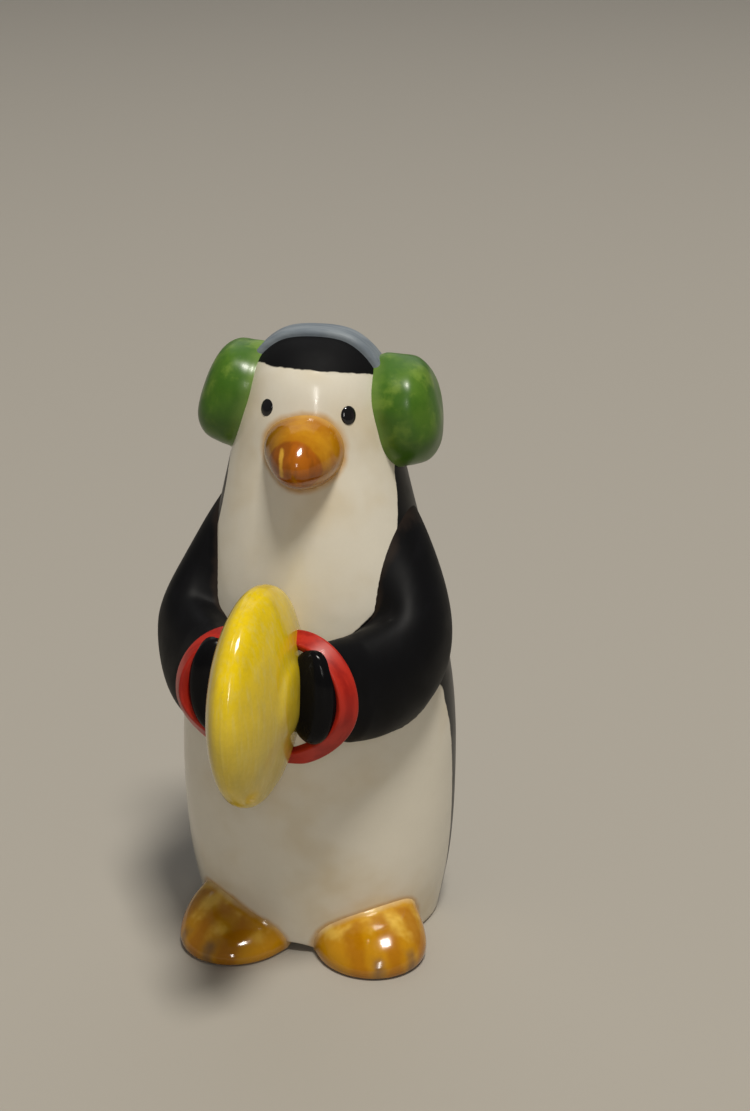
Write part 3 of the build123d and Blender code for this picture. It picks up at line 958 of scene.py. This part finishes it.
def work_nodes(name, start, sizes, way):
    """A geometry nodes tree with named inputs: its start, sizes, a direction or place, and a finish."""
    tree = bpy.data.node_groups.new(name, "GeometryNodeTree")
    tree.is_modifier = True
    takes = [(start, "Geometry"), *[(size, "Float") for size in sizes]]
    takes += [(way, "Vector"), ("Finish", "Material")]
    for socket, kind in takes:
        tree.interface.new_socket(socket, in_out="INPUT", socket_type="NodeSocket" + kind)
    tree.interface.new_socket("Clay", in_out="OUTPUT", socket_type="NodeSocketGeometry")
    return tree, tree.nodes.new("NodeGroupInput").outputs


def end_nodes(tree, geometry, finish):
    """Ends a geometry nodes tree: shaded smooth, made real and given its finish."""
    smooth = node(tree, "GeometryNodeSetShadeSmooth", {"Geometry": geometry}).outputs[0]
    real = node(tree, "GeometryNodeRealizeInstances", {"Geometry": smooth}).outputs[0]
    done = node(tree, "GeometryNodeSetMaterial", {"Geometry": real, "Material": finish}).outputs[0]
    tree.links.new(done, tree.nodes.new("NodeGroupOutput").inputs[0])


def worked(name, start, nodes, sizes):
    """A plain mesh made from a start by a geometry nodes tree, with the tree's inputs given by name."""
    source = put_in_scene(name + "_start", start)
    modifier = source.modifiers.new("work", "NODES")
    modifier.node_group = nodes
    for item in nodes.interface.items_tree:
        if item.item_type == "SOCKET" and item.in_out == "INPUT" and item.name in sizes:
            modifier[item.identifier] = sizes[item.name]
    bpy.context.view_layer.update()
    evaluated = source.evaluated_get(bpy.context.evaluated_depsgraph_get())
    mesh = bpy.data.meshes.new_from_object(evaluated)
    bpy.data.objects.remove(source)
    close_up(mesh)
    return put_in_scene(name, mesh)


# A flat strip swept along a curve, fuller or thinner by the curve's own radius
ribbon_nodes, given = work_nodes("Clay strip along a path", "Path", ("Width", "Thickness"), "Broadside")
broad_way = {"Curve": given["Path"], "Normal": given["Broadside"]}
turned = node(ribbon_nodes, "GeometryNodeSetCurveNormal", broad_way, mode="FREE").outputs[0]
sides = {"Width": given["Width"], "Height": given["Thickness"]}
oblong = node(ribbon_nodes, "GeometryNodeCurvePrimitiveQuadrilateral", sides).outputs["Curve"]
corner_radius = times(ribbon_nodes, given["Thickness"], 0.28)
corners = {"Curve": oblong, "Radius": corner_radius, "Count": 7, "Limit Radius": True}
section = node(ribbon_nodes, "GeometryNodeFilletCurve", corners, mode="POLY").outputs[0]
fullness = node(ribbon_nodes, "GeometryNodeInputRadius").outputs[0]
sweep = {"Curve": turned, "Profile Curve": section, "Scale": fullness, "Fill Caps": True}
end_nodes(ribbon_nodes, node(ribbon_nodes, "GeometryNodeCurveToMesh", sweep).outputs[0], given["Finish"])


def ribbon(name, path, radii, tilts, sizes):
    """A strip of clay along a path of points, fuller or thinner and more or less tilted on its way."""
    curve = bpy.data.curves.new(name + "_path", "CURVE")
    curve.dimensions = "3D"
    spline = curve.splines.new("POLY")
    spline.points.add(len(path) - 1)
    for point, place, radius, tilt in zip(spline.points, path, radii, tilts):
        point.co = (*place, 1)
        point.radius = radius
        point.tilt = tilt
    return worked(name, curve, ribbon_nodes, sizes)


def band_colour(tree):
    """Slate blue, streaked across the crown by the brush."""
    return mix(tree, strokes_of(tree, (160, 1300, 500), 0.35, 0.7)["Stroke"], slate, slate_pale)


band_path = []
for lean in np.linspace(-1, 1, band_points) * band_lean:
    way = head_way(sin(lean), 0, cos(lean))
    start = in_head(0, band_setback, head_centre + band_middle_lift)
    hit = trunk_surface.ray_cast(start + way * ray_length, -way)[0]
    band_path.append(hit - way * band_sink)
band_sizes = {
    "Width": band_width,
    "Thickness": 2 * band_thickness,
    "Broadside": tuple(head_way(0, -1, 0)),
    "Finish": glazed("blue grey glaze", band_colour, mottle=0.10, gloss=0.48, shine=0.25, clear_coat=0.0),
}
headband = ribbon("headband_clay", band_path, [1.0] * band_points, [0.0] * band_points, band_sizes)
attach(headband, "root")
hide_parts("headband")

# Cymbals: two bells of clay pressed in one mould, stuck rim to rim and seated in a hollow on the chest.
# Lemon yellow is brushed over them from top to bottom, with painted shade in grey at the far cymbal's rim,
# and ochre where it gathers.
bell_along, bell_around = 97, 161
# Along the bell's section, from its top over the rim and back in along the meeting face: reach and rise
bell_reach_shares = [
    (0.00, 0.00), (0.10, 0.22), (0.18, 0.38), (0.24, 0.50), (0.36, 0.70), (0.50, 0.88),
    (0.60, 0.965), (0.66, 0.993), (0.70, 1.00), (0.84, 0.50), (1.00, 0.00),
]
bell_rise_shares = [
    (0.00, 1.00), (0.10, 0.965), (0.18, 0.84), (0.24, 0.77), (0.36, 0.63), (0.50, 0.43),
    (0.60, 0.26), (0.66, 0.12), (0.70, 0.00), (0.84, 0.00), (1.00, 0.00),
]
lemon, lemon_grey = paint(238, 205, 8), paint(208, 184, 76)
lemon_deep, lemon_pale = paint(222, 190, 34), paint(224, 206, 112)
ochre = paint(196, 158, 26)
# Grey for painted shade on the far cymbal's rim
far_rim_shade_grey = paint(158, 142, 88)


def profile_curve(tree, value, shares):
    """A number read off a smooth curve through a few points, both from 0 to 1."""
    made = node(tree, "ShaderNodeFloatCurve", {"Value": value})
    points = made.mapping.curves[0].points
    for _ in shares[2:]:
        points.new(0.5, 0.5)
    for point, place in zip(points, shares):
        point.location = place
        point.handle_type = "AUTO_CLAMPED"
    made.mapping.update()
    return made.outputs[0]


# One half of a cymbal's section, turned about its axle, X
bell_nodes, given = work_nodes("Cymbal turned about its axle", "Start", ("Radius", "Thickness"), "Centre")
sheet = {"Size X": 1.0, "Size Y": 1.0, "Vertices X": bell_along, "Vertices Y": bell_around}
grid = node(bell_nodes, "GeometryNodeMeshGrid", sheet).outputs[0]
grid_place = node(bell_nodes, "GeometryNodeInputPosition").outputs[0]
split = node(bell_nodes, "ShaderNodeSeparateXYZ", {0: grid_place}).outputs
along = math(bell_nodes, "ADD", split["X"], 0.5)
turn = times(bell_nodes, math(bell_nodes, "ADD", split["Y"], 0.5), 2 * pi)
reach = times(bell_nodes, profile_curve(bell_nodes, along, bell_reach_shares), given["Radius"])
rise = times(bell_nodes, profile_curve(bell_nodes, along, bell_rise_shares), given["Thickness"])
fore = times(bell_nodes, reach, math(bell_nodes, "COSINE", turn))
above = times(bell_nodes, reach, math(bell_nodes, "SINE", turn))
spot = node(bell_nodes, "ShaderNodeCombineXYZ", {"X": rise, "Y": fore, "Z": above}).outputs[0]
spot = vector_math(bell_nodes, "ADD", spot, given["Centre"])[0]
turned = node(bell_nodes, "GeometryNodeSetPosition", {"Geometry": grid, "Position": spot}).outputs[0]
meeting = {"Geometry": turned, "Distance": 2 * merge_distance}
end_nodes(bell_nodes, node(bell_nodes, "GeometryNodeMergeByDistance", meeting).outputs[0], given["Finish"])


def cymbal_colour(tree):
    """Lemon yellow in long upright strokes, greyer low down, painted shade in grey at the far rim, and
    patches of ochre.
    """
    place = place_on(tree)
    lower = ramp(tree, place_along(tree, "Z"), cymbal_high.z - 4 * mm, cymbal_low.z + 4 * mm)
    strokes = strokes_of(tree, (620, 420, 60), 0.30, 0.72)
    darkening = times(tree, strokes["Stroke"], 0.55)
    bristles = times(tree, ramp(tree, strokes["Bristle"], 0.42, 0.8), 0.4)
    gathered = times(tree, ramp(tree, noise(tree, place, 170, 2), 0.58, 0.72), 0.4)
    from_centre = vector_math(tree, "SUBTRACT", place, cymbal_centre)[0]
    from_axle = vector_math(tree, "MULTIPLY", from_centre, (0, 1, 1))[0]
    reach = vector_math(tree, "LENGTH", from_axle)["Value"]
    rim = ramp(tree, reach, 0.36 * cymbal_radius, 0.58 * cymbal_radius)
    # Painted shade: grey over the rim of the far cymbal, whose face turns away from the key light
    far_side = ramp(tree, place_along(tree, "X"), -0.2 * mm, -1.7 * mm)
    far_rim_shade = times(tree, times(tree, far_side, rim), 0.35)
    brushwork = (darkening, lemon_deep), (bristles, lemon_pale), (gathered, ochre)
    return laid_on(tree, lemon, (lower, lemon_grey), *brushwork, (far_rim_shade, far_rim_shade_grey))


yellow_glaze = glazed("yellow glaze", cymbal_colour, mottle=0.24, gloss=0.12)
for name, side in (("left", 1), ("right", -1)):
    bell_sizes = {
        "Radius": cymbal_radius,
        "Thickness": cymbal_thickness * side,
        "Centre": tuple(cymbal_centre),
        "Finish": yellow_glaze,
    }
    start = bpy.data.meshes.new(name + "_cymbal_start")
    cymbal = worked(name + "_cymbal_clay", start, bell_nodes, bell_sizes)
    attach(cymbal, "root")
    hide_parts(name + "_cymbal")

# Straps: thin coils of clay flattened round the hands, their ends pressed on to the backs of the cymbals.
# Coral red is brushed round them in lighter and darker strokes.
strap_thickness, strap_end_thickness, strap_height = 1.1 * mm, 0.8 * mm, 13.7 * mm
strap_inward = flipper_thickness * 0.27
strap_reach = strap_inward + wrist_thickness / 2 + strap_thickness / 2
strap_half_height = strap_height / 2 - strap_end_thickness / 2
strap_points, strap_sweep = 65, radians(122)
strap_fullness, strap_end_thinning = 1.08, 0.50
strap_low_slope = radians(64)
strap_tail_share, strap_low_draw = 0.42, 0.30
coral, coral_dark = paint(180, 42, 28), paint(154, 27, 17)


def strap_colour(tree):
    """Coral red with a darker, fuller stroke."""
    return mix(tree, strokes_of(tree, (420, 900, 120), 0.4, 0.64)["Stroke"], coral, coral_dark)


red_glaze = glazed("red glaze", strap_colour, mottle=0.10, gloss=0.34, shine=0.3, clear_coat=0.04)
strap_out, strap_up = across_arm(wrist_heading)
for name, side, slope in (("left", 1, radians(30)), ("right", -1, radians(12))):
    path = []
    radii = []
    tilts = []
    for turn in np.linspace(-1, 1, strap_points):
        swing = turn * strap_sweep
        low = max(0, -turn)
        drawn_in = 1 - strap_low_draw * max(0, -sin(swing)) ** 2 if cos(swing) > 0 else 1
        across = strap_reach * cos(swing) * drawn_in - strap_inward
        above = strap_half_height * sin(swing) * (1 + strap_tail_share * low**5)
        path.append(mirrored(np.array(wrist_place) + across * strap_out + above * strap_up, side))
        radii.append(strap_fullness - strap_end_thinning * abs(turn) ** 6)
        tilts.append(-side * (slope + (strap_low_slope - slope) * low))
    strap_sizes = {
        "Width": wrist_length,
        "Thickness": strap_thickness,
        "Broadside": tuple(mirrored(np.array(wrist_heading), side)),
        "Finish": red_glaze,
    }
    strap = ribbon(name + "_strap_clay", path, radii, tilts, strap_sizes)
    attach(strap, "root")
    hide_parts(name + "_strap")

# Floor, light and camera: a plain pale table top under a soft key light from the upper right, an upright
# strip in front that the glaze mirrors, and wide weak lights at the far side and behind.
# The camera stands where the photograph was taken from, and it is framed for a picture of 750 by 1111.
floor_half = 2.4
floor_corners = [(-1, -1, 0), (1, -1, 0), (1, 1, 0), (-1, 1, 0)]
floor_mesh = bpy.data.meshes.new("floor")
floor_mesh.from_pydata([Vector(corner) * floor_half for corner in floor_corners], [], [(0, 1, 2, 3)])
floor = put_in_scene("floor", floor_mesh)
floor_paint = bpy.data.materials.new("pale floor")
floor_paint.use_nodes = True
floor_shader = floor_paint.node_tree.nodes["Principled BSDF"]
floor_shader.inputs["Base Color"].default_value = paint(169, 163, 153)
floor_shader.inputs["Roughness"].default_value = 0.6
floor_mesh.materials.append(floor_paint)


def way_to(azimuth, elevation):
    """The direction from the figurine to a light or the camera, by degrees round from its front and up."""
    turn, rise = radians(azimuth), radians(elevation)
    return Vector((sin(turn) * cos(rise), -cos(turn) * cos(rise), sin(rise)))


def area_light(name, azimuth, elevation, distance, width, height, power, colour):
    """A soft oblong light that looks at the figurine's middle."""
    lamp = bpy.data.lights.new(name, "AREA")
    lamp.shape = "RECTANGLE"
    lamp.size = width
    lamp.size_y = height
    lamp.energy = power
    lamp.color = colour
    way = way_to(azimuth, elevation)
    holder = put_in_scene(name, lamp)
    holder.location = Vector((0, 0, trunk_height / 2)) + way * distance
    holder.rotation_euler = (-way).to_track_quat("-Z", "Y").to_euler()


area_light("key", 38, 72, 2.10, 0.42, 0.42, 38.0, (1.0, 0.965, 0.89))
area_light("strip", 18, 25, 2.40, 0.13, 0.72, 6.8, (1.0, 0.975, 0.92))
area_light("fill", -60, 30, 2.70, 2.40, 2.40, 0.5, (0.95, 0.97, 1.0))
area_light("back", 190, 40, 2.70, 2.40, 2.40, 8.0, (0.97, 0.98, 1.0))
world = bpy.data.worlds.new("room")
world.use_nodes = True
world.node_tree.nodes["Background"].inputs["Color"].default_value = (0.82, 0.80, 0.76, 1)
world.node_tree.nodes["Background"].inputs["Strength"].default_value = 0.15
bpy.context.scene.world = world
bpy.context.scene.view_settings.view_transform = "Standard"

picture_width, picture_height = 750, 1111
view_azimuth, view_elevation = 16.4, 23.1
view_distance = 230 * mm
view_middle = Vector((0, 0, 36 * mm))
focal_pixels = 1943
axis_pixel = (318.5, 626.8)
view_way = way_to(view_azimuth, view_elevation)
view_right = Vector((cos(radians(view_azimuth)), sin(radians(view_azimuth)), 0))
view_up = view_way.cross(view_right)
pixel = view_distance / focal_pixels
aim = view_middle + view_right * (picture_width / 2 - axis_pixel[0]) * pixel
aim += view_up * (axis_pixel[1] - picture_height / 2) * pixel
camera = bpy.data.cameras.new("camera")
camera.sensor_fit = "HORIZONTAL"
camera.sensor_width = 36
camera.lens = focal_pixels / picture_width * camera.sensor_width
camera.clip_start = 0.01
camera_holder = put_in_scene("camera", camera)
camera_holder.location = view_middle + view_way * view_distance
camera_holder.rotation_euler = (aim - camera_holder.location).to_track_quat("-Z", "Y").to_euler()
bpy.context.scene.camera = camera_holder

bpy.context.view_layer.update()
